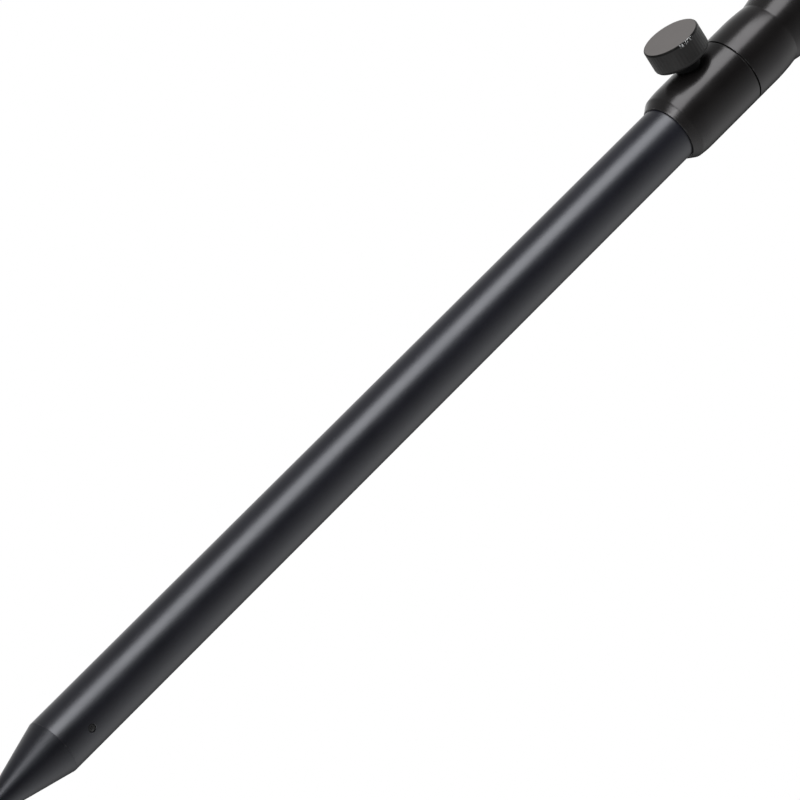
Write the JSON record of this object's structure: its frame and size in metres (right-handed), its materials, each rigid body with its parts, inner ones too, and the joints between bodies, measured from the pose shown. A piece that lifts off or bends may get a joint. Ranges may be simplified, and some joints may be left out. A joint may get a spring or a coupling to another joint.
{
  "type": "bank stick",
  "caption": "Telescopic bank stick: a black tube with a pointed ground end, a collar with a knurled thumbscrew, and a sliding inner tube that carries a threaded head.",
  "frame": {"origin": "tip of the ground point", "axes": "+Z along the stick from the tip to the head, -X out along the thumbscrew, Y along the cross pins"},
  "size_m": [0.0362, 0.0254, 0.3883],
  "materials": {
    "satin_black": "black anodised, satin",
    "gloss_black": "black anodised, polished",
    "knob": "dark anodised, matt, knurled edge",
    "bare_aluminium": "drawn tube, clear anodised",
    "steel": "machined",
    "black_steel": "blackened steel",
    "brass": "machined",
    "white_nylon": "moulded nylon",
    "black_nylon": "moulded nylon",
    "rubber": "matt"
  },
  "bodies": {
    "ground_section": {"ground_point": "satin_black", "point_pin": "black_steel", "point_seal": "rubber", "outer_tube": "satin_black", "locking_collar": "gloss_black", "guide_bush": "white_nylon", "wiper_ring": "rubber", "screw_bush": "black_steel"},
    "clamp_pad": {"clamp_pad": "white_nylon"},
    "thumbscrew": {"thumb_stud": "black_steel", "thumb_knob": "knob"},
    "guide_rings": {"guide_ring_lower": "white_nylon", "guide_ring_upper": "white_nylon"},
    "inner_section": {"end_plug": "black_nylon", "plug_pin": "steel", "inner_tube": "bare_aluminium", "head_washer": "rubber", "head": "gloss_black", "head_pin": "steel", "head_insert": "brass"}
  },
  "joints": [
    {"name": "pad_slide", "type": "slide", "parent": "ground_section", "child": "clamp_pad", "axis": [-1, 0, 0], "range_m": [0, 0.0021]},
    {"name": "screw_turn", "type": "hinge", "parent": "clamp_pad", "child": "thumbscrew", "pos_m": [-0.02, 0, 0.34013], "axis": [-1, 0, 0], "range_deg": [0, 720]},
    {"name": "inner_slide", "type": "slide", "parent": "ground_section", "child": "guide_rings", "axis": [0, 0, 1], "range_m": [0, 0.244]},
    {"name": "inner_turn", "type": "hinge", "parent": "guide_rings", "child": "inner_section", "pos_m": [0, 0, 0.2], "axis": [0, 0, 1], "continuous": true}
  ],
  "couplings": [
    {"joint": "pad_slide", "follows": "screw_turn", "m_per_rad": 0.00015915}
  ]
}
